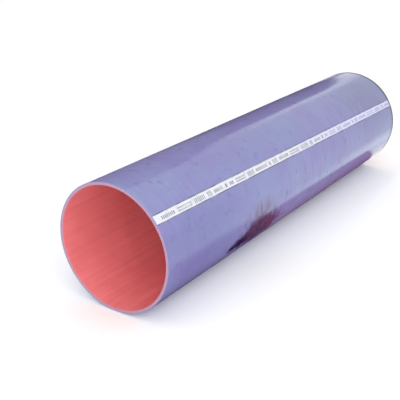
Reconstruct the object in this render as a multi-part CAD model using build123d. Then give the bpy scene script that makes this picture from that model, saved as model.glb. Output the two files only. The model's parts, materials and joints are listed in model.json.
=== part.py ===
"""A straight length of large-bore silicone hose, lying on its side.

The wall is a laminate: a red liner with its fabric plies, and a thin blue cover bonded round them.
+X runs along the hose, +Z is up, and the origin is on the floor under the middle of the hose.
"""

import os

from build123d import *

# Driving dimensions, in millimetres
BORE_DIAMETER = 152.0  # slips over a 6 in pipe stub
LINER_THICKNESS = 3.2  # red liner and the fabric plies cured into it
COVER_THICKNESS = 0.8  # blue outer ply
HOSE_LENGTH = 640.0
CUT_EDGE_RADIUS = 0.3  # the knife leaves soft rubber slightly rounded

# Radii from the hose axis that follow from them
bore_radius = BORE_DIAMETER / 2
bond_radius = bore_radius + LINER_THICKNESS  # where the cover is bonded to the plies
outer_radius = bond_radius + COVER_THICKNESS


def layer_section(inside_radius, outside_radius):
    """A layer's lengthwise section, with the hose axis along X."""
    middle_radius = (inside_radius + outside_radius) / 2
    return Pos(0, middle_radius) * Rectangle(HOSE_LENGTH, outside_radius - inside_radius)


def turned_layer(section):
    """A section turned about the hose axis, and raised so that the hose lies on the floor."""
    return Pos(0, 0, outer_radius) * revolve(Plane.XZ * section, axis=Axis.X)


def inner_liner():
    """The red inside of the wall, with its two mouths rounded over where the hose was cut."""
    section = layer_section(bore_radius, bond_radius)
    mouth_corners = section.vertices().group_by(Axis.Y)[0]
    return turned_layer(fillet(mouth_corners, CUT_EDGE_RADIUS))


def outer_cover():
    """The blue outside of the wall, with its two outer rims rounded over where the hose was cut."""
    section = layer_section(bond_radius, outer_radius)
    rim_corners = section.vertices().group_by(Axis.Y)[-1]
    return turned_layer(fillet(rim_corners, CUT_EDGE_RADIUS))


hose_layers = {"inner_liner": inner_liner(), "outer_cover": outer_cover()}

os.makedirs("parts", exist_ok=True)
for node, layer in hose_layers.items():
    export_step(layer, f"parts/{node}.step")
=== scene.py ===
import itertools
import json
import math

import bpy
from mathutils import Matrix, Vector, noise


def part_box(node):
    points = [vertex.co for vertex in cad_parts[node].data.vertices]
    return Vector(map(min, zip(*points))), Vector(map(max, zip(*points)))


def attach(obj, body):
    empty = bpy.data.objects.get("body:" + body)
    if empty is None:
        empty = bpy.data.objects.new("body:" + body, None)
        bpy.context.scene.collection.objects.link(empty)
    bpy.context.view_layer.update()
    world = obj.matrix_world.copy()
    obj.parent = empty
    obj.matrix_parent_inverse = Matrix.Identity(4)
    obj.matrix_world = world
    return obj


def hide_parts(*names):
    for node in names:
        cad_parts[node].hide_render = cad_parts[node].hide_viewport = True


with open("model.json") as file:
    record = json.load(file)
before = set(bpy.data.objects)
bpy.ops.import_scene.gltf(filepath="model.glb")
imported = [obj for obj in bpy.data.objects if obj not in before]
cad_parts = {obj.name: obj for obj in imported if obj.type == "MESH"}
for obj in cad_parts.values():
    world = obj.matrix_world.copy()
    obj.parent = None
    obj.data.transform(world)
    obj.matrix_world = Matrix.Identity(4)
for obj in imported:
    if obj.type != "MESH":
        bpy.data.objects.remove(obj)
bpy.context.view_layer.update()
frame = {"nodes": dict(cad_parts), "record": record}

mm = 0.001
touching = 0.01 * mm  # points closer than this count as one
smoothAngle = math.radians(30)  # edges that turn by more than this stay sharp

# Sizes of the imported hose, in metres
mounts = {mount["name"]: mount["dims"] for mount in frame["record"]["mounts"]}
boreRadius = mounts["near_bore"]["r_mm"] * mm
outerRadius = mounts["near_clamp_seat"]["r_mm"] * mm
axisHeight = outerRadius  # the hose lies on the floor
linerVertices = frame["nodes"]["inner_liner"].data.vertices
bondRadius = max(math.hypot(vertex.co.y, vertex.co.z - axisHeight) for vertex in linerVertices)
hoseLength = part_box("outer_cover")[1].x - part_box("outer_cover")[0].x
cutEdgeRadius = 0.3 * mm
print(f"hose {hoseLength:.3f} m long, radii {boreRadius:.4f}, {bondRadius:.4f} and {outerRadius:.4f} m")


# Working on a piece

def deselectAll():
    if bpy.context.object and bpy.context.object.mode == "EDIT":
        bpy.ops.object.mode_set(mode="OBJECT")
    bpy.ops.object.select_all(action="DESELECT")


def pickUp(piece):
    deselectAll()
    piece.select_set(True)
    bpy.context.view_layer.objects.active = piece


def namePiece(piece, name):
    piece.name = name
    piece.data.name = name


def applyPlace(piece):
    pickUp(piece)
    bpy.ops.object.transform_apply(location=True, rotation=True, scale=True)


def clearSelection(kind):
    bpy.ops.object.mode_set(mode="EDIT")
    bpy.ops.mesh.select_mode(type=kind)
    bpy.ops.mesh.select_all(action="DESELECT")
    bpy.ops.object.mode_set(mode="OBJECT")


def selectVertices(piece, wanted):
    clearSelection("VERT")
    for vertex in piece.data.vertices:
        vertex.select = wanted(vertex.co)
    bpy.ops.object.mode_set(mode="EDIT")


def selectEdges(piece, wanted):
    clearSelection("EDGE")
    points = piece.data.vertices
    for edge in piece.data.edges:
        edge.select = wanted(points[edge.vertices[0]].co, points[edge.vertices[1]].co)
    bpy.ops.object.mode_set(mode="EDIT")


def addModifier(piece, kind, **settings):
    pickUp(piece)
    bpy.ops.object.modifier_add(type=kind)
    modifier = piece.modifiers[-1]
    for name, value in settings.items():
        setattr(modifier, name, value)
    bpy.ops.object.modifier_apply(modifier=modifier.name)


def smoothFaces(piece):
    pickUp(piece)
    bpy.ops.object.shade_smooth_by_angle(angle=smoothAngle)


def finishPiece(piece, slot, *nodes):
    deselectAll()
    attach(piece, "root")
    if nodes:
        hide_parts(*nodes)
    print(f"{piece.name}: {len(piece.data.polygons)} faces")


# Working on a material

def linearColour(hexText):
    channels = [int(hexText[place:place + 2], 16) / 255 for place in (1, 3, 5)]
    linear = [c / 12.92 if c <= 0.04045 else ((c + 0.055) / 1.055) ** 2.4 for c in channels]
    return (*linear, 1.0)


def addNode(tree, kind, settings=None, links=None):
    node = tree.nodes.new(kind)
    for name, value in (settings or {}).items():
        if isinstance(name, int) or name in node.inputs:
            node.inputs[name].default_value = value
        else:
            setattr(node, name, value)
    for name, source in (links or {}).items():
        tree.links.new(source, node.inputs[name])
    return node


# A material whose patterns are placed from the hose's axis
def newMaterial(name):
    material = bpy.data.materials.new(name)
    material.use_nodes = True
    tree = material.node_tree
    shader = tree.nodes["Principled BSDF"]
    place = addNode(tree, "ShaderNodeTexCoord")
    centred = addNode(
        tree, "ShaderNodeMapping", {"Location": (0, 0, -axisHeight)}, {"Vector": place.outputs["Object"]}
    )
    return material, tree, shader, centred.outputs["Vector"]


# A place on the hose's outside, measured from its axis: angles go up from the side towards the top
def onOutside(along, degrees):
    angle = math.radians(degrees)
    return Vector((along, -outerRadius * math.cos(angle), outerRadius * math.sin(angle)))


# The wall's two layers

# A layer's lengthwise section gets its free edges rounded, and its outline is spun about the axis
def spinLayer(name, insideRadius, outsideRadius, freeRadius, settings):
    deselectAll()
    middle = axisHeight + (insideRadius + outsideRadius) / 2
    bpy.ops.mesh.primitive_plane_add(size=1, location=(0, 0, middle), rotation=(math.radians(90), 0, 0))
    layer = bpy.context.object
    namePiece(layer, name)
    layer.scale = (hoseLength, outsideRadius - insideRadius, 1)
    applyPlace(layer)

    def onFreeSide(point):
        return abs(point.z - axisHeight - freeRadius) < touching

    def onEnd(point):
        return abs(abs(point.x) - hoseLength / 2) < touching

    selectVertices(layer, onFreeSide)
    bpy.ops.mesh.bevel(
        offset=cutEdgeRadius, segments=settings["edgeSegments"], affect="VERTICES", profile=0.5
    )
    bpy.ops.mesh.select_all(action="SELECT")
    bpy.ops.mesh.delete(type="ONLY_FACE")
    selectEdges(layer, lambda a, b: onFreeSide(a) and onFreeSide(b))
    for cuts in settings["lengthCuts"]:
        bpy.ops.mesh.subdivide(number_cuts=cuts)
    selectEdges(layer, lambda a, b: onEnd(a) and onEnd(b))
    bpy.ops.mesh.subdivide(number_cuts=settings["endCuts"])
    bpy.ops.mesh.select_all(action="SELECT")
    bpy.ops.mesh.spin(
        steps=settings["turnSteps"], angle=math.tau, center=(0, 0, axisHeight), axis=(1, 0, 0)
    )
    bpy.ops.mesh.select_all(action="SELECT")
    bpy.ops.mesh.remove_doubles(threshold=touching)
    bpy.ops.mesh.normals_make_consistent(inside=False)
    bpy.ops.object.mode_set(mode="OBJECT")
    return layer


# Noise from 0 to 1
def unitNoise(point):
    return 0.5 + 0.5 * noise.noise(point)


endCut = {
    "lean": 0.6,  # faces that look along the hose more than this are cut faces
    "wander": 0.4 * mm,  # how far the knife strays from square
    "wanderSpan": 40 * mm,
    "wanderShift": 5,  # sets the two ends apart in the noise, so that they stray differently
    "fade": 6 * mm,  # the stray dies out over this length
    "plies": 3,
    "plyGroove": 0.12 * mm,  # rubber that springs back between the plies
}


def plyPhase(radius):
    return math.tau * endCut["plies"] * (radius - boreRadius) / (bondRadius - boreRadius)


def markCutFaces(layer):
    for face in layer.data.polygons:
        if abs(face.normal.x) > endCut["lean"]:
            face.material_index = 1


def trimEnds(layer):
    span = endCut["wanderSpan"]
    for vertex in layer.data.vertices:
        side = math.copysign(1, vertex.co.x)
        fromEnd = hoseLength / 2 - abs(vertex.co.x)
        if fromEnd > endCut["fade"]:
            continue
        stray = unitNoise(Vector((side * endCut["wanderShift"], vertex.co.y / span, vertex.co.z / span)))
        inward = endCut["wander"] * stray * (1 - fromEnd / endCut["fade"])
        radius = math.hypot(vertex.co.y, vertex.co.z - axisHeight)
        if fromEnd < touching and radius < bondRadius:
            inward += endCut["plyGroove"] * (0.5 + 0.5 * math.cos(plyPhase(radius)))
        vertex.co.x -= side * inward


coverSettings = {
    "lengthCuts": (20, 20),  # in two goes, to about one every 1.5 mm
    "endCuts": 2,
    "turnSteps": 192,
    "edgeSegments": 3,
    "wrapPitch": 10 * mm,  # overlap of the tape that the hose was cured under
    "wrapHeight": 0.04 * mm,
    "wrapRise": 0.2,  # share of the pitch in which the tape's edge rises
    "wrapPatch": 70 * mm,  # the tape's pull changes over this length
    "swayHeight": 0.35 * mm,  # soft rubber is never quite round
    "swaySpan": 110 * mm,
    "lavender": "#8082AF",
    "lilac": "#8077AB",
    "cloud": 80 * mm,  # width of the soft patches of colour
    "cloudRange": (0.38, 0.62),  # a range says where a pattern's noise starts to show and shows in full
    "streak": "#938FBE",
    "streakWidth": 6 * mm,  # brushed bands round the hose, from the tape
    "streakLength": 70 * mm,
    "streakRange": (0.42, 0.72),
    "streakShare": 0.4,
    "streakPatch": 130 * mm,
    "streakPatchRange": (0.42, 0.62),
    "speck": "#5A568E",  # small dark marks
    "speckSize": 12 * mm,
    "speckRange": (0.6, 0.78),
    "speckShare": 0.45,
    "farEdgeGrey": "#4C4A55",  # a darker grey along the far cut edge
    "farEdgeGreyWidth": 8 * mm,
    "farEdgeGreySolid": 0.4,  # the part of that width, by the edge, that is grey all over
    "farEdgeGreyShare": 0.9,
    "farEdgeGreyRoughness": 0.6,
    "grain": 1.6 * mm,  # weave of the tape, drawn coarser than real so that it shows
    "grainStrength": 0.12,
    "grainDepth": 0.2 * mm,
    "roughness": (0.08, 0.15),  # between the bands and on them
    "ior": 1.45,
    "shineTint": "#A0FFC4",  # of the reflections, matched to the photo
}


def wrapRelief(point):
    angle = math.atan2(point.z - axisHeight, -point.y)
    part = (point.x / coverSettings["wrapPitch"] + angle / math.tau) % 1.0
    rise = coverSettings["wrapRise"]
    step = part / rise if part < rise else (1 - part) / (1 - rise)
    pull = unitNoise(point / coverSettings["wrapPatch"])
    sway = unitNoise(point / coverSettings["swaySpan"])
    return coverSettings["wrapHeight"] * (step * pull - 1) + coverSettings["swayHeight"] * (sway - 1)


def raiseWrapMarks(layer):
    for vertex in layer.data.vertices:
        spoke = Vector((0, vertex.co.y, vertex.co.z - axisHeight))
        share = (spoke.length - bondRadius) / (outerRadius - bondRadius)
        vertex.co += spoke.normalized() * share * wrapRelief(vertex.co)


# Dirt and painted shade on the outside: each patch's place is along the hose and in degrees up from its
# side, and its pull is how far blotches move its edge about, as a share of its reach
coverDirtAndShade = {
    "blotch": 13 * mm,
    "softEdge": (1.0, 0.2),  # shares of its reach at which a patch starts to show and shows in full
    # painted shade: darker, duller violet low on the side by the near end
    "nearShade": {
        "colour": "#6A659C",
        "place": (-262 * mm, 6),
        "reach": (130 * mm, 62 * mm, 62 * mm),
        "pull": 0.3,
        "share": 0.6,
    },
    "dust": {
        "colour": "#747392",
        "place": (262 * mm, 48),
        "reach": (130 * mm, 80 * mm, 80 * mm),
        "pull": 0.3,
        "share": 0.5,
    },
    # painted shadow: a nearly black patch low on the side, at the near end of the maroon patch
    "contactShadow": {
        "colour": "#140A34",
        "place": (-166 * mm, -26),
        "reach": (34 * mm, 14 * mm, 14 * mm),
        "pull": 1.2,
        "share": 1.0,
    },
    # a dark maroon patch low on the side, browner in blotches
    "maroonPatch": {
        "maroon": "#5E3650",
        "brown": "#3E2644",
        "brownRange": (0.4, 0.65),
        "place": (-118 * mm, -22.5),
        "reach": (59 * mm, 23.5 * mm, 23.5 * mm),
        "pull": 1.1,
        "wipePull": 0.5,  # how far the wipes move its edge about
        "hardEdge": (1.05, 0.65),  # in place of the soft edge
        "share": 0.95,
    },
    # mauve streaks above the maroon patch, running up round the hose
    "streakedPatch": {
        "colour": "#6E5C80",
        "place": (-124 * mm, -4),
        "reach": (44 * mm, 24 * mm, 24 * mm),
        "wipeWidth": 4.5 * mm,
        "wipeLength": 60 * mm,
        "wipeRange": (0.36, 0.62),
        "wipeLeast": 0.25,
    },
}


# How far a point is from the middle of a patch, as a share of the patch's reach
def patchDistance(tree, place, patch):
    near = addNode(
        tree, "ShaderNodeMapping",
        {"vector_type": "TEXTURE", "Location": onOutside(*patch["place"]), "Scale": patch["reach"]},
        {"Vector": place},
    )
    distance = addNode(tree, "ShaderNodeVectorMath", {"operation": "LENGTH"}, {0: near.outputs["Vector"]})
    return distance.outputs["Value"]


# The same with the patch's edge pulled about by blotches
def raggedDistance(tree, place, patch, blotches):
    pull = patch["pull"]
    even = addNode(
        tree, "ShaderNodeMath",
        {"operation": "SUBTRACT", 1: pull / 2},
        {0: patchDistance(tree, place, patch)},
    )
    ragged = addNode(
        tree, "ShaderNodeMath",
        {"operation": "MULTIPLY_ADD", 1: pull},
        {0: blotches.outputs["Fac"], 2: even.outputs[0]},
    )
    return ragged.outputs[0]


# A soft-edged patch of dirt or painted shade over the colour that is there already
def addPatch(tree, place, below, patch, blotches):
    start, full = coverDirtAndShade["softEdge"]
    share = addNode(
        tree, "ShaderNodeMapRange",
        {"interpolation_type": "SMOOTHSTEP", "From Min": start, "From Max": full, "To Max": patch["share"]},
        {"Value": raggedDistance(tree, place, patch, blotches)},
    )
    patched = addNode(
        tree, "ShaderNodeMix",
        {"data_type": "RGBA", 7: linearColour(patch["colour"])},
        {0: share.outputs["Result"], 6: below},
    )
    return patched.outputs[2]


# Painted shade low by the near end, dust by the far end, a maroon patch low on the side with mauve streaks
# running up from it, and a painted shadow, nearly black, at that patch's near end
def addDirtAndShade(tree, place, clean):
    maroonPatch = coverDirtAndShade["maroonPatch"]
    streakedPatch = coverDirtAndShade["streakedPatch"]
    blotches = addNode(
        tree, "ShaderNodeTexNoise",
        {"Scale": 1 / coverDirtAndShade["blotch"], "Detail": 4.0, "Roughness": 0.6},
        {"Vector": place},
    )
    # painted shade by the near end, then dust by the far end
    nearShaded = addPatch(tree, place, clean, coverDirtAndShade["nearShade"], blotches)
    dusted = addPatch(tree, place, nearShaded, coverDirtAndShade["dust"], blotches)
    wipeScale = (1 / streakedPatch["wipeWidth"], 1 / streakedPatch["wipeLength"], 1 / streakedPatch["wipeLength"])
    wipePlace = addNode(tree, "ShaderNodeMapping", {"Scale": wipeScale}, {"Vector": place})
    wipes = addNode(
        tree, "ShaderNodeTexNoise",
        {"Scale": 1.0, "Detail": 3.0},
        {"Vector": wipePlace.outputs["Vector"]},
    )
    start, full = coverDirtAndShade["softEdge"]
    streakedPatchFade = addNode(
        tree, "ShaderNodeMapRange",
        {"interpolation_type": "SMOOTHSTEP", "From Min": start, "From Max": full},
        {"Value": patchDistance(tree, place, streakedPatch)},
    )
    start, full = streakedPatch["wipeRange"]
    wipeShare = addNode(
        tree, "ShaderNodeMapRange",
        {"From Min": start, "From Max": full, "To Min": streakedPatch["wipeLeast"], "To Max": 1.0},
        {"Value": wipes.outputs["Fac"]},
    )
    streakedPatchShare = addNode(
        tree, "ShaderNodeMath",
        {"operation": "MULTIPLY"},
        {0: streakedPatchFade.outputs["Result"], 1: wipeShare.outputs["Result"]},
    )
    streakedPatched = addNode(
        tree, "ShaderNodeMix",
        {"data_type": "RGBA", 7: linearColour(streakedPatch["colour"])},
        {0: streakedPatchShare.outputs[0], 6: dusted},
    )
    ragged = addNode(
        tree, "ShaderNodeMath",
        {"operation": "MULTIPLY_ADD", 1: maroonPatch["wipePull"]},
        {0: wipes.outputs["Fac"], 2: raggedDistance(tree, place, maroonPatch, blotches)},
    )
    start, full = (maroonPatch["wipePull"] / 2 + edge for edge in maroonPatch["hardEdge"])
    maroonPatchShare = addNode(
        tree, "ShaderNodeMapRange",
        {"From Min": start, "From Max": full, "To Max": maroonPatch["share"]},
        {"Value": ragged.outputs[0]},
    )
    start, full = maroonPatch["brownRange"]
    brownShare = addNode(
        tree, "ShaderNodeMapRange",
        {"From Min": start, "From Max": full},
        {"Value": blotches.outputs["Fac"]},
    )
    maroonPatchColour = addNode(
        tree, "ShaderNodeMix",
        {"data_type": "RGBA", 6: linearColour(maroonPatch["maroon"]), 7: linearColour(maroonPatch["brown"])},
        {0: brownShare.outputs["Result"]},
    )
    maroonPatched = addNode(
        tree, "ShaderNodeMix",
        {"data_type": "RGBA"},
        {0: maroonPatchShare.outputs["Result"], 6: streakedPatched.outputs[2], 7: maroonPatchColour.outputs[2]},
    )
    # the painted shadow goes on last
    return addPatch(tree, place, maroonPatched.outputs[2], coverDirtAndShade["contactShadow"], blotches)


# How much of the darker grey along the far cut edge lies on a point, on the rubber and on the print alike
def farEdgeGreyAmount(tree, place):
    width = coverSettings["farEdgeGreyWidth"]
    along = addNode(tree, "ShaderNodeSeparateXYZ", links={0: place})
    share = addNode(
        tree, "ShaderNodeMapRange",
        {
            "From Min": hoseLength / 2 - width,
            "From Max": hoseLength / 2 - coverSettings["farEdgeGreySolid"] * width,
            "To Max": coverSettings["farEdgeGreyShare"],
        },
        {"Value": along.outputs["X"]},
    )
    return share.outputs["Result"]


# Silicone rubber cured under a tight tape: satin, softly clouded, with bands round it that the tape brushed
def makeCoverSilicone():
    material, tree, shader, place = newMaterial("violet_blue_silicone")
    clouds = addNode(
        tree, "ShaderNodeTexNoise",
        {"Scale": 1 / coverSettings["cloud"], "Detail": 4.0, "Roughness": 0.6},
        {"Vector": place},
    )
    start, full = coverSettings["cloudRange"]
    cloudShare = addNode(
        tree, "ShaderNodeMapRange",
        {"From Min": start, "From Max": full},
        {"Value": clouds.outputs["Fac"]},
    )
    lavender = linearColour(coverSettings["lavender"])
    lilac = linearColour(coverSettings["lilac"])
    clouded = addNode(
        tree, "ShaderNodeMix",
        {"data_type": "RGBA", 6: lavender, 7: lilac},
        {0: cloudShare.outputs["Result"]},
    )
    length = coverSettings["streakLength"]
    bandScale = (1 / coverSettings["streakWidth"], 1 / length, 1 / length)
    bandPlace = addNode(tree, "ShaderNodeMapping", {"Scale": bandScale}, {"Vector": place})
    bands = addNode(
        tree, "ShaderNodeTexNoise",
        {"Scale": 1.0, "Detail": 3.0, "Roughness": 0.6},
        {"Vector": bandPlace.outputs["Vector"]},
    )
    start, full = coverSettings["streakRange"]
    bandDepth = addNode(
        tree, "ShaderNodeMapRange",
        {"From Min": start, "From Max": full, "To Max": coverSettings["streakShare"]},
        {"Value": bands.outputs["Fac"]},
    )
    patches = addNode(
        tree, "ShaderNodeTexNoise",
        {"Scale": 1 / coverSettings["streakPatch"], "Detail": 2.0},
        {"Vector": place},
    )
    start, full = coverSettings["streakPatchRange"]
    patchShare = addNode(
        tree, "ShaderNodeMapRange",
        {"From Min": start, "From Max": full},
        {"Value": patches.outputs["Fac"]},
    )
    bandShare = addNode(
        tree, "ShaderNodeMath",
        {"operation": "MULTIPLY"},
        {0: bandDepth.outputs["Result"], 1: patchShare.outputs["Result"]},
    )
    banded = addNode(
        tree, "ShaderNodeMix",
        {"data_type": "RGBA", 7: linearColour(coverSettings["streak"])},
        {0: bandShare.outputs[0], 6: clouded.outputs[2]},
    )
    specks = addNode(
        tree, "ShaderNodeTexNoise",
        {"Scale": 1 / coverSettings["speckSize"], "Detail": 2.0},
        {"Vector": place},
    )
    start, full = coverSettings["speckRange"]
    speckShare = addNode(
        tree, "ShaderNodeMapRange",
        {"From Min": start, "From Max": full, "To Max": coverSettings["speckShare"]},
        {"Value": specks.outputs["Fac"]},
    )
    specked = addNode(
        tree, "ShaderNodeMix",
        {"data_type": "RGBA", 7: linearColour(coverSettings["speck"])},
        {0: speckShare.outputs["Result"], 6: banded.outputs[2]},
    )
    dirtiedAndShaded = addDirtAndShade(tree, place, specked.outputs[2])
    farEdgeGreyShare = farEdgeGreyAmount(tree, place)
    farEdgeGreyed = addNode(
        tree, "ShaderNodeMix",
        {"data_type": "RGBA", 7: linearColour(coverSettings["farEdgeGrey"])},
        {0: farEdgeGreyShare, 6: dirtiedAndShaded},
    )
    tree.links.new(farEdgeGreyed.outputs[2], shader.inputs["Base Color"])
    polish = addNode(
        tree, "ShaderNodeMapRange",
        {"To Min": coverSettings["roughness"][0], "To Max": coverSettings["roughness"][1]},
        {"Value": bands.outputs["Fac"]},
    )
    dullness = addNode(
        tree, "ShaderNodeMix",
        {3: coverSettings["farEdgeGreyRoughness"]},
        {0: farEdgeGreyShare, 2: polish.outputs["Result"]},
    )
    tree.links.new(dullness.outputs[0], shader.inputs["Roughness"])
    grain = addNode(
        tree, "ShaderNodeTexNoise",
        {"Scale": 1 / coverSettings["grain"], "Detail": 2.0},
        {"Vector": place},
    )
    bump = addNode(
        tree, "ShaderNodeBump",
        {"Strength": coverSettings["grainStrength"], "Distance": coverSettings["grainDepth"]},
        {"Height": grain.outputs["Fac"]},
    )
    tree.links.new(bump.outputs["Normal"], shader.inputs["Normal"])
    shader.inputs["IOR"].default_value = coverSettings["ior"]
    shader.inputs["Specular Tint"].default_value = linearColour(coverSettings["shineTint"])
    return material


linerSettings = {
    "lengthCuts": (12, 12),
    "endCuts": 15,  # enough to carve the plies
    "turnSteps": 192,
    "edgeSegments": 3,
    "salmon": "#EA8486",
    "deepRed": "#DC7276",
    "cloud": 40 * mm,
    "drawWidth": 5 * mm,  # marks that the mandrel left as it was drawn out
    "drawLength": 180 * mm,
    "redRange": (0.7, 1.4),  # of the clouds and the marks added up
    "grain": 1.2 * mm,  # of the mandrel's surface, drawn coarser than real so that it shows
    "grainStrength": 0.1,
    "grainDepth": 0.2 * mm,
    "roughness": (0.55, 0.7),
    "ior": 1.41,
    "thread": "#AE97AE",
    "rubber": "#926B83",
    "threadCount": 420,  # cut yarns in one turn of a ply, fewer than real so that they show
    "threadDepth": 0.35,
    "fray": 2 * mm,  # width of the patches where the yarn ends have spread
    "frayDepth": 1.6,
    "rubberRange": (0.0, 1.6),
    "cutStrength": 0.4,
    "cutDepth": 0.1 * mm,
    "cutRoughness": 0.75,
}


# Silicone rubber moulded on a smooth mandrel: even and slightly shiny, with faint lengthwise marks
def makeLinerSilicone():
    material, tree, shader, place = newMaterial("red_silicone")
    clouds = addNode(
        tree, "ShaderNodeTexNoise",
        {"Scale": 1 / linerSettings["cloud"], "Detail": 4.0},
        {"Vector": place},
    )
    width = linerSettings["drawWidth"]
    drawScale = (1 / linerSettings["drawLength"], 1 / width, 1 / width)
    drawPlace = addNode(tree, "ShaderNodeMapping", {"Scale": drawScale}, {"Vector": place})
    drawMarks = addNode(
        tree, "ShaderNodeTexNoise",
        {"Scale": 1.0, "Detail": 3.0},
        {"Vector": drawPlace.outputs["Vector"]},
    )
    both = addNode(
        tree, "ShaderNodeMath",
        {"operation": "ADD"},
        {0: clouds.outputs["Fac"], 1: drawMarks.outputs["Fac"]},
    )
    start, full = linerSettings["redRange"]
    redShare = addNode(
        tree, "ShaderNodeMapRange",
        {"From Min": start, "From Max": full},
        {"Value": both.outputs[0]},
    )
    salmon = linearColour(linerSettings["salmon"])
    deepRed = linearColour(linerSettings["deepRed"])
    colour = addNode(
        tree, "ShaderNodeMix",
        {"data_type": "RGBA", 6: salmon, 7: deepRed},
        {0: redShare.outputs["Result"]},
    )
    tree.links.new(colour.outputs[2], shader.inputs["Base Color"])
    polish = addNode(
        tree, "ShaderNodeMapRange",
        {"To Min": linerSettings["roughness"][0], "To Max": linerSettings["roughness"][1]},
        {"Value": drawMarks.outputs["Fac"]},
    )
    tree.links.new(polish.outputs["Result"], shader.inputs["Roughness"])
    grain = addNode(
        tree, "ShaderNodeTexNoise",
        {"Scale": 1 / linerSettings["grain"], "Detail": 2.0},
        {"Vector": place},
    )
    bump = addNode(
        tree, "ShaderNodeBump",
        {"Strength": linerSettings["grainStrength"], "Distance": linerSettings["grainDepth"]},
        {"Height": grain.outputs["Fac"]},
    )
    tree.links.new(bump.outputs["Normal"], shader.inputs["Normal"])
    shader.inputs["IOR"].default_value = linerSettings["ior"]
    return material


# Polyester plies and the rubber between them, cut through with a knife: pale rings of yarn ends, matt
def makeCutPlies():
    material, tree, shader, place = newMaterial("cut_polyester_plies")
    across = addNode(tree, "ShaderNodeVectorMath", {"operation": "MULTIPLY", 1: (0, 1, 1)}, {0: place})
    radius = addNode(tree, "ShaderNodeVectorMath", {"operation": "LENGTH"}, {0: across.outputs["Vector"]})
    phasePerMetre = plyPhase(boreRadius + 1)
    phase = addNode(
        tree, "ShaderNodeMath",
        {"operation": "MULTIPLY_ADD", 1: phasePerMetre, 2: -phasePerMetre * boreRadius},
        {0: radius.outputs["Value"]},
    )
    rings = addNode(tree, "ShaderNodeMath", {"operation": "COSINE"}, {0: phase.outputs[0]})
    parts = addNode(tree, "ShaderNodeSeparateXYZ", links={0: place})
    angle = addNode(
        tree, "ShaderNodeMath",
        {"operation": "ARCTAN2"},
        {0: parts.outputs["Z"], 1: parts.outputs["Y"]},
    )
    yarnPhase = addNode(
        tree, "ShaderNodeMath",
        {"operation": "MULTIPLY", 1: linerSettings["threadCount"]},
        {0: angle.outputs[0]},
    )
    yarns = addNode(tree, "ShaderNodeMath", {"operation": "SINE"}, {0: yarnPhase.outputs[0]})
    weave = addNode(
        tree, "ShaderNodeMath",
        {"operation": "MULTIPLY_ADD", 1: linerSettings["threadDepth"]},
        {0: yarns.outputs[0], 2: rings.outputs[0]},
    )
    fray = addNode(
        tree, "ShaderNodeTexNoise",
        {"Scale": 1 / linerSettings["fray"], "Detail": 3.0},
        {"Vector": place},
    )
    uneven = addNode(
        tree, "ShaderNodeMath",
        {"operation": "MULTIPLY_ADD", 1: linerSettings["frayDepth"]},
        {0: fray.outputs["Fac"], 2: weave.outputs[0]},
    )
    start, full = linerSettings["rubberRange"]
    rubberShare = addNode(
        tree, "ShaderNodeMapRange",
        {"From Min": start, "From Max": full},
        {"Value": uneven.outputs[0]},
    )
    thread = linearColour(linerSettings["thread"])
    rubber = linearColour(linerSettings["rubber"])
    colour = addNode(
        tree, "ShaderNodeMix",
        {"data_type": "RGBA", 6: thread, 7: rubber},
        {0: rubberShare.outputs["Result"]},
    )
    tree.links.new(colour.outputs[2], shader.inputs["Base Color"])
    bump = addNode(
        tree, "ShaderNodeBump",
        {"Strength": linerSettings["cutStrength"], "Distance": linerSettings["cutDepth"], "invert": True},
        {"Height": rubberShare.outputs["Result"]},
    )
    tree.links.new(bump.outputs["Normal"], shader.inputs["Normal"])
    shader.inputs["Roughness"].default_value = linerSettings["cutRoughness"]
    return material


cover = spinLayer("hose_cover", bondRadius, outerRadius, outerRadius, coverSettings)
cover.data.materials.append(makeCoverSilicone())
raiseWrapMarks(cover)
trimEnds(cover)
smoothFaces(cover)
finishPiece(cover, "blue_silicone", "outer_cover")

liner = spinLayer("hose_liner", boreRadius, bondRadius, boreRadius, linerSettings)
liner.data.materials.append(makeLinerSilicone())
liner.data.materials.append(makeCutPlies())
markCutFaces(liner)
trimEnds(liner)
smoothFaces(liner)
finishPiece(liner, "red_silicone", "inner_liner")


# The printed line and the plain grey bars on it

printLine = {
    "nearAngle": 39.2,  # degrees up from the hose's side, at the near end
    "farAngle": 28.5,
    "width": 12.2 * mm,
    "endGap": 0.9 * mm,  # bare rubber at each end
    "lengthFaces": 320,
    "widthFaces": 10,
    "thickness": 0.12 * mm,  # ink, drawn thicker than real so that it stays clear of the wrap marks
    "white": "#D0D1DA",
    "thin": "#C9CAE6",  # ink that runs out, so that the blue shows through
    "thinFrom": -20 * mm,
    "thinTo": 140 * mm,
    "worn": "#AEAFC8",
    "wear": 5 * mm,
    "wornRange": (0.5, 0.8),
    "edge": "#3E4058",  # a darker grey-blue line along the ink's two edges
    "edgeWidth": 1.3 * mm,
    "edgeSolid": 0.6,  # the part of that width, on the outside, that is dark all over
    "edgePatch": 16 * mm,  # that line comes and goes over this length
    "edgeRange": (0.35, 0.6),
    "edgeLeast": 0.65,
    "roughness": (0.4, 0.65),
}


# Adds a flat strip on the floor, to be raised and laid on the hose
def addStrip(lengthFaces, widthFaces, place, size):
    deselectAll()
    bpy.ops.mesh.primitive_grid_add(
        x_subdivisions=lengthFaces, y_subdivisions=widthFaces, size=1, location=(*place, 0)
    )
    strip = bpy.context.object
    strip.scale = (*size, 1)
    applyPlace(strip)
    return strip


# Raises a flat strip to the top of the hose, with its origin on the axis for the twist
def raiseToSurface(piece):
    pickUp(piece)
    bpy.ops.object.mode_set(mode="EDIT")
    bpy.ops.mesh.select_all(action="SELECT")
    bpy.ops.transform.translate(value=(0, 0, outerRadius))
    bpy.ops.object.mode_set(mode="OBJECT")
    piece.location.z = axisHeight


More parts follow.
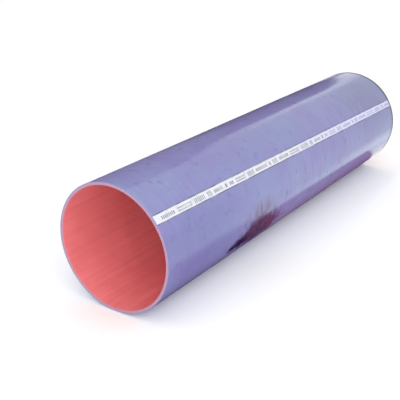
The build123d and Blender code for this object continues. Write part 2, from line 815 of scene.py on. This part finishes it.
# Twists a flat strip round the hose axis, turns it to the line's place and presses it on what carries it
def layOnHose(piece, carrier, thickness):
    along = [vertex.co.x for vertex in piece.data.vertices]
    twistPerMetre = math.radians(printLine["nearAngle"] - printLine["farAngle"]) / hoseLength
    addModifier(
        piece, "SIMPLE_DEFORM",
        deform_method="TWIST", deform_axis="X", angle=twistPerMetre * (max(along) - min(along)),
    )
    middleAngle = (printLine["nearAngle"] + printLine["farAngle"]) / 2
    piece.rotation_euler.x = math.radians(90 - middleAngle)
    applyPlace(piece)
    addModifier(
        piece, "SHRINKWRAP",
        target=carrier, wrap_method="NEAREST_SURFACEPOINT", wrap_mode="ABOVE_SURFACE", offset=thickness / 2,
    )
    addModifier(piece, "SOLIDIFY", thickness=thickness, offset=0.0)
    smoothFaces(piece)


# The print roller runs short of ink towards the far end
def inkShortage(tree, place):
    along = addNode(tree, "ShaderNodeSeparateXYZ", links={0: place})
    share = addNode(
        tree, "ShaderNodeMapRange",
        {"From Min": printLine["thinFrom"], "From Max": printLine["thinTo"]},
        {"Value": along.outputs["X"]},
    )
    return share.outputs["Result"]


# White printing ink, rolled on: flat white, a little worn, with a darker grey-blue line along its two edges
def makeWhiteInk():
    material, tree, shader, place = newMaterial("white_printing_ink")
    strip = addNode(tree, "ShaderNodeUVMap", {"uv_map": "UVMap"})
    parts = addNode(tree, "ShaderNodeSeparateXYZ", links={0: strip.outputs["UV"]})
    halfWidth = 0.5  # of the strip, in its UV map
    fromMiddle = addNode(
        tree, "ShaderNodeMath", {"operation": "SUBTRACT", 1: halfWidth}, {0: parts.outputs["Y"]}
    )
    outward = addNode(tree, "ShaderNodeMath", {"operation": "ABSOLUTE"}, {0: fromMiddle.outputs[0]})
    edgePart = printLine["edgeWidth"] / printLine["width"]
    edgeShare = addNode(
        tree, "ShaderNodeMapRange",
        {"From Min": halfWidth - edgePart, "From Max": halfWidth - printLine["edgeSolid"] * edgePart},
        {"Value": outward.outputs[0]},
    )
    edgePatches = addNode(
        tree, "ShaderNodeTexNoise",
        {"Scale": 1 / printLine["edgePatch"], "Detail": 3.0},
        {"Vector": place},
    )
    start, full = printLine["edgeRange"]
    edgeLineStrength = addNode(
        tree, "ShaderNodeMapRange",
        {"From Min": start, "From Max": full, "To Min": printLine["edgeLeast"], "To Max": 1.0},
        {"Value": edgePatches.outputs["Fac"]},
    )
    edgeLineShare = addNode(
        tree, "ShaderNodeMath",
        {"operation": "MULTIPLY"},
        {0: edgeShare.outputs["Result"], 1: edgeLineStrength.outputs["Result"]},
    )
    wear = addNode(
        tree, "ShaderNodeTexNoise",
        {"Scale": 1 / printLine["wear"], "Detail": 5.0, "Roughness": 0.65},
        {"Vector": place},
    )
    start, full = printLine["wornRange"]
    wornShare = addNode(
        tree, "ShaderNodeMapRange",
        {"From Min": start, "From Max": full},
        {"Value": wear.outputs["Fac"]},
    )
    ink = addNode(
        tree, "ShaderNodeMix",
        {"data_type": "RGBA", 6: linearColour(printLine["white"]), 7: linearColour(printLine["thin"])},
        {0: inkShortage(tree, place)},
    )
    worn = addNode(
        tree, "ShaderNodeMix",
        {"data_type": "RGBA", 7: linearColour(printLine["worn"])},
        {0: wornShare.outputs["Result"], 6: ink.outputs[2]},
    )
    edged = addNode(
        tree, "ShaderNodeMix",
        {"data_type": "RGBA", 7: linearColour(printLine["edge"])},
        {0: edgeLineShare.outputs[0], 6: worn.outputs[2]},
    )
    farEdgeGreyed = addNode(
        tree, "ShaderNodeMix",
        {"data_type": "RGBA", 7: linearColour(coverSettings["farEdgeGrey"])},
        {0: farEdgeGreyAmount(tree, place), 6: edged.outputs[2]},
    )
    tree.links.new(farEdgeGreyed.outputs[2], shader.inputs["Base Color"])
    polish = addNode(
        tree, "ShaderNodeMapRange",
        {"To Min": printLine["roughness"][0], "To Max": printLine["roughness"][1]},
        {"Value": wear.outputs["Fac"]},
    )
    tree.links.new(polish.outputs["Result"], shader.inputs["Roughness"])
    return material


lineSize = (hoseLength - 2 * printLine["endGap"], printLine["width"])
line = addStrip(printLine["lengthFaces"], printLine["widthFaces"], (0, 0), lineSize)
namePiece(line, "marking_line")
raiseToSurface(line)
layOnHose(line, cover, printLine["thickness"])
line.data.materials.append(makeWhiteInk())
finishPiece(line, "blue_silicone")

printMarks = {
    "start": 12 * mm,  # from the near end
    "stop": 6 * mm,  # from the far end
    "gap": 6.5 * mm,  # between two groups of bars
    "across": -0.6 * mm,  # the bars sit a little below the middle of the line
    "thickness": 0.08 * mm,
    "widthFaces": 3,
    "bars": {
        "tall": {"size": (1.3 * mm, 6.2 * mm), "pitch": 3.0 * mm, "rows": 1},
        "low": {"size": (1.5 * mm, 4.2 * mm), "pitch": 3.0 * mm, "rows": 1},
        "paired": {"size": (1.2 * mm, 1.8 * mm), "pitch": 2.4 * mm, "rows": 2},
        "block": {"size": (3.0 * mm, 5.0 * mm), "pitch": 5.0 * mm, "rows": 1},
    },
    "rowPitch": 3.2 * mm,
    "groups": [
        ("low", 8), ("paired", 11), ("tall", 7), ("tall", 3), ("low", 6), ("block", 1),
        ("low", 3), ("paired", 9), ("tall", 5), ("low", 9), ("block", 1), ("tall", 4),
    ],
    "grey": "#5C615F",
    "paleGrey": "#989C9E",
    "patch": 30 * mm,  # width of the patches of thinner ink
    "paleRange": (0.4, 0.65),
    "thin": "#9A9CBC",
    "thinShare": 0.7,
    "roughness": 0.55,
}


def addBars(start, bar, count):
    lowest = printMarks["across"] - printMarks["rowPitch"] * (bar["rows"] - 1) / 2
    bars = addStrip(1, printMarks["widthFaces"], (start + bar["size"][0] / 2, lowest), bar["size"])
    for number, step in ((count, (bar["pitch"], 0, 0)), (bar["rows"], (0, printMarks["rowPitch"], 0))):
        addModifier(
            bars, "ARRAY",
            count=number, use_relative_offset=False,
            use_constant_offset=True, constant_offset_displace=step,
        )
    return bars


# Grey printing ink, stamped on the white: thinner in some places than in others
def makeGreyInk():
    material, tree, shader, place = newMaterial("grey_printing_ink")
    patches = addNode(
        tree, "ShaderNodeTexNoise",
        {"Scale": 1 / printMarks["patch"], "Detail": 6.0, "Roughness": 0.7},
        {"Vector": place},
    )
    start, full = printMarks["paleRange"]
    paleShare = addNode(
        tree, "ShaderNodeMapRange",
        {"From Min": start, "From Max": full},
        {"Value": patches.outputs["Fac"]},
    )
    stamped = addNode(
        tree, "ShaderNodeMix",
        {"data_type": "RGBA", 6: linearColour(printMarks["grey"]), 7: linearColour(printMarks["paleGrey"])},
        {0: paleShare.outputs["Result"]},
    )
    thinShare = addNode(
        tree, "ShaderNodeMath",
        {"operation": "MULTIPLY", 1: printMarks["thinShare"]},
        {0: inkShortage(tree, place)},
    )
    colour = addNode(
        tree, "ShaderNodeMix",
        {"data_type": "RGBA", 7: linearColour(printMarks["thin"])},
        {0: thinShare.outputs[0], 6: stamped.outputs[2]},
    )
    tree.links.new(colour.outputs[2], shader.inputs["Base Color"])
    shader.inputs["Roughness"].default_value = printMarks["roughness"]
    return material


# Fills the line with groups of bars from its near end on, as one mesh
def makePrintMarks():
    groups = []
    start = printMarks["start"] - hoseLength / 2
    for kind, count in itertools.cycle(printMarks["groups"]):
        bar = printMarks["bars"][kind]
        end = start + bar["pitch"] * (count - 1) + bar["size"][0]
        if end > hoseLength / 2 - printMarks["stop"]:
            break
        groups.append(addBars(start, bar, count))
        start = end + printMarks["gap"]
    deselectAll()
    for bars in groups:
        bars.select_set(True)
    bpy.context.view_layer.objects.active = groups[0]
    bpy.ops.object.join()
    return groups[0]


marks = makePrintMarks()
namePiece(marks, "marking_bars")
raiseToSurface(marks)
layOnHose(marks, line, printMarks["thickness"])
marks.data.materials.append(makeGreyInk())
finishPiece(marks, "blue_silicone")


# Floor, light and camera

studio = {
    "floor": "#FDFDFD",
    "floorSize": 14.0,
    "paperRoughness": 0.9,
    "world": "#FFFFFF",
    "worldStrength": 1.0,
}


def plainMaterial(name, colour, glow=0.0):
    material = bpy.data.materials.new(name)
    material.use_nodes = True
    shader = material.node_tree.nodes["Principled BSDF"]
    shader.inputs["Base Color"].default_value = linearColour(colour)
    shader.inputs["Roughness"].default_value = studio["paperRoughness"]
    shader.inputs["Emission Color"].default_value = linearColour(colour)
    shader.inputs["Emission Strength"].default_value = glow
    return material


def makeFloor():
    deselectAll()
    bpy.ops.mesh.primitive_plane_add(size=studio["floorSize"], location=(0, 0, 0))
    floor = bpy.context.object
    floor.name = "studio_floor"
    floor.data.materials.append(plainMaterial("pale_paper", studio["floor"]))


# Cards that only reflections see: the dark ones darken the hose's upper and lower edges as in the photo,
# and the glowing ones light what is beside them. A card's corners are the two of its lower or front edge,
# then the two of its upper or back edge. Its fade is the share of its size over which it comes in from its
# first side, its second side, its lower or front edge and its upper or back edge.
cards = {
    "back_card": {
        "colour": "#3A1838",
        "glow": 0.0,
        "corners": [
            (-0.6, 0.505, 0.0), (0.97, 0.505, 0.0),
            (-0.6, 0.505, 0.76), (1.67, 0.505, 0.74),
        ],
        "fade": (0.001, 0.008, 0.001, 0.02),
    },
    "low_back_card": {
        "colour": "#3A1838",
        "glow": 0.0,
        "corners": [
            (0.5, 0.504, 0.0), (1.1, 0.504, 0.0),
            (0.5, 0.504, 0.3), (1.25, 0.504, 0.3),
        ],
        "fade": (0.2, 0.01, 0.001, 0.001),
    },
    "near_back_card": {
        "colour": "#6A667A",
        "glow": 0.0,
        "corners": [
            (-0.6, 0.5, 0.0), (0.4, 0.5, 0.0),
            (-0.6, 0.5, 1.45), (1.5, 0.5, 1.45),
        ],
        "fade": (0.2, 0.15, 0.001, 0.2),
    },
    "upper_glow_card": {
        "colour": "#FFFFFF",
        "glow": 0.4,
        "corners": [
            (1.05, 0.506, 0.765), (1.95, 0.506, 0.745),
            (1.2, 0.506, 1.15), (2.6, 0.506, 1.15),
        ],
        "fade": (0.3, 0.1, 0.001, 0.6),
    },
    "far_back_card": {
        "colour": "#FFFFFF",
        "glow": 0.35,
        "corners": [
            (1.15, 0.51, 0.25), (3.2, 0.51, 0.25),
            (1.69, 0.51, 0.74), (3.4, 0.51, 0.74),
        ],
        "fade": (0.001, 0.2, 0.1, 0.1),
    },
    "far_low_card": {
        "colour": "#B2B2BC",
        "glow": 0.0,
        "corners": [
            (0.8, 0.515, 0.0), (3.2, 0.515, 0.0),
            (0.8, 0.515, 0.3), (3.2, 0.515, 0.3),
        ],
        "fade": (0.001, 0.2, 0.001, 0.001),
    },
    "near_floor_card": {
        "colour": "#4E2856",
        "glow": 0.0,
        "corners": [
            (-0.6, -0.195, 0.002), (0.02, -0.195, 0.002),
            (-0.6, 0.07, 0.002), (0.02, 0.07, 0.002),
        ],
        "fade": (0.2, 0.15, 0.3, 0.1),
    },
    "floor_card": {
        "colour": "#924866",
        "glow": 0.0,
        "corners": [
            (-0.1, -0.1245, 0.001), (0.345, -0.1005, 0.001),
            (-0.1, 0.07, 0.001), (0.33, 0.07, 0.001),
        ],
        "fade": (0.001, 0.015, 0.02, 0.1),
    },
    "front_glow_card": {
        "colour": "#FFFFFF",
        "glow": 0.7,
        "corners": [
            (-0.05, -0.17, 0.0015), (0.6, -0.17, 0.0015),
            (-0.05, -0.122, 0.0015), (0.6, -0.087, 0.0015),
        ],
        "fade": (0.8, 0.3, 0.6, 0.001),
    },
    "far_floor_card": {
        "colour": "#FFFFFF",
        "glow": 0.25,
        "corners": [
            (0.35, -0.1005, 0.001), (1.4, -0.4, 0.001),
            (0.334, 0.07, 0.001), (1.4, 0.4, 0.001),
        ],
        "fade": (0.001, 0.2, 0.001, 0.1),
    },
    # the last two keep the cover's colour for someone who looks along the hose
    "near_end_card": {
        "colour": "#7E78A2",
        "glow": 0.0,
        "corners": [
            (-4.0, -1.6, 0.0), (-4.0, 1.6, 0.0),
            (-4.0, -1.6, 1.8), (-4.0, 1.6, 1.8),
        ],
        "fade": (0.2, 0.2, 0.001, 0.4),
    },
    "far_end_card": {
        "colour": "#7E78A2",
        "glow": 0.0,
        "corners": [
            (4.0, -1.2, 0.0), (4.0, 1.2, 0.0),
            (4.0, -1.2, 1.8), (4.0, 1.2, 1.8),
        ],
        "fade": (0.2, 0.2, 0.001, 0.4),
    },
}


def fadeEdges(material, fade):
    tree = material.node_tree
    sheet = addNode(tree, "ShaderNodeUVMap", {"uv_map": "UVMap"})
    parts = addNode(tree, "ShaderNodeSeparateXYZ", links={0: sheet.outputs["UV"]})
    first, second, lower, upper = fade
    ramps = (("X", 0, first), ("X", 1, 1 - second), ("Y", 0, lower), ("Y", 1, 1 - upper))
    shares = [
        addNode(
            tree, "ShaderNodeMapRange",
            {"interpolation_type": "SMOOTHSTEP", "From Min": edge, "From Max": inside},
            {"Value": parts.outputs[axis]},
        )
        for axis, edge, inside in ramps
    ]
    whole = shares[0].outputs["Result"]
    for share in shares[1:]:
        product = addNode(
            tree, "ShaderNodeMath", {"operation": "MULTIPLY"}, {0: whole, 1: share.outputs["Result"]}
        )
        whole = product.outputs[0]
    tree.links.new(whole, tree.nodes["Principled BSDF"].inputs["Alpha"])


def makeCards():
    for name, setting in cards.items():
        deselectAll()
        bpy.ops.mesh.primitive_plane_add(size=1, location=(0, 0, 0))
        card = bpy.context.object
        card.name = name
        for vertex, corner in zip(card.data.vertices, setting["corners"]):
            vertex.co = corner
        paper = plainMaterial(name + "_paper", setting["colour"], setting["glow"])
        fadeEdges(paper, setting["fade"])
        card.data.materials.append(paper)
        card.visible_camera = False
        card.visible_diffuse = False
        card.visible_shadow = False


softboxes = {
    "key": {"place": (-1.3, -1.5, 1.4), "size": (1.8, 1.8), "watts": 14, "mirrored": True},
    # seen in reflections, this one would glare along the cover from the other sides
    "mouth_fill": {"place": (-2.0, -0.9, 0.8), "size": (0.8, 0.8), "watts": 14, "mirrored": False},
}


def makeLights():
    aim = Vector((0, 0, axisHeight))
    for name, box in softboxes.items():
        light = bpy.data.lights.new(name, "AREA")
        light.shape = "RECTANGLE"
        light.size, light.size_y = box["size"]
        light.energy = box["watts"]
        lamp = bpy.data.objects.new(name, light)
        lamp.location = box["place"]
        lamp.rotation_euler = (aim - lamp.location).to_track_quat("-Z", "Y").to_euler()
        lamp.visible_glossy = box["mirrored"]
        bpy.context.scene.collection.objects.link(lamp)
    world = bpy.data.worlds.new("studio")
    world.use_nodes = True
    background = world.node_tree.nodes["Background"]
    background.inputs["Color"].default_value = linearColour(studio["world"])
    background.inputs["Strength"].default_value = studio["worldStrength"]
    bpy.context.scene.world = world


view = {
    "eye": (-0.9019, -0.5214, 0.4600),
    "heading": 34.565,  # degrees from the hose's own direction to the line of sight
    "lookDown": 22.43,  # degrees
    "lens": 68.85,  # mm
    "sensor": 36,  # mm wide
}


def makeCamera():
    camera = bpy.data.cameras.new("photo_camera")
    camera.lens = view["lens"]
    camera.sensor_width = view["sensor"]
    eye = bpy.data.objects.new("photo_camera", camera)
    eye.location = view["eye"]
    eye.rotation_euler = (math.radians(90 - view["lookDown"]), 0, math.radians(view["heading"] - 90))
    bpy.context.scene.collection.objects.link(eye)
    bpy.context.scene.camera = eye


makeFloor()
makeCards()
makeLights()
makeCamera()
bpy.context.scene.view_settings.view_transform = "Standard"
print("floor, light and camera are set")
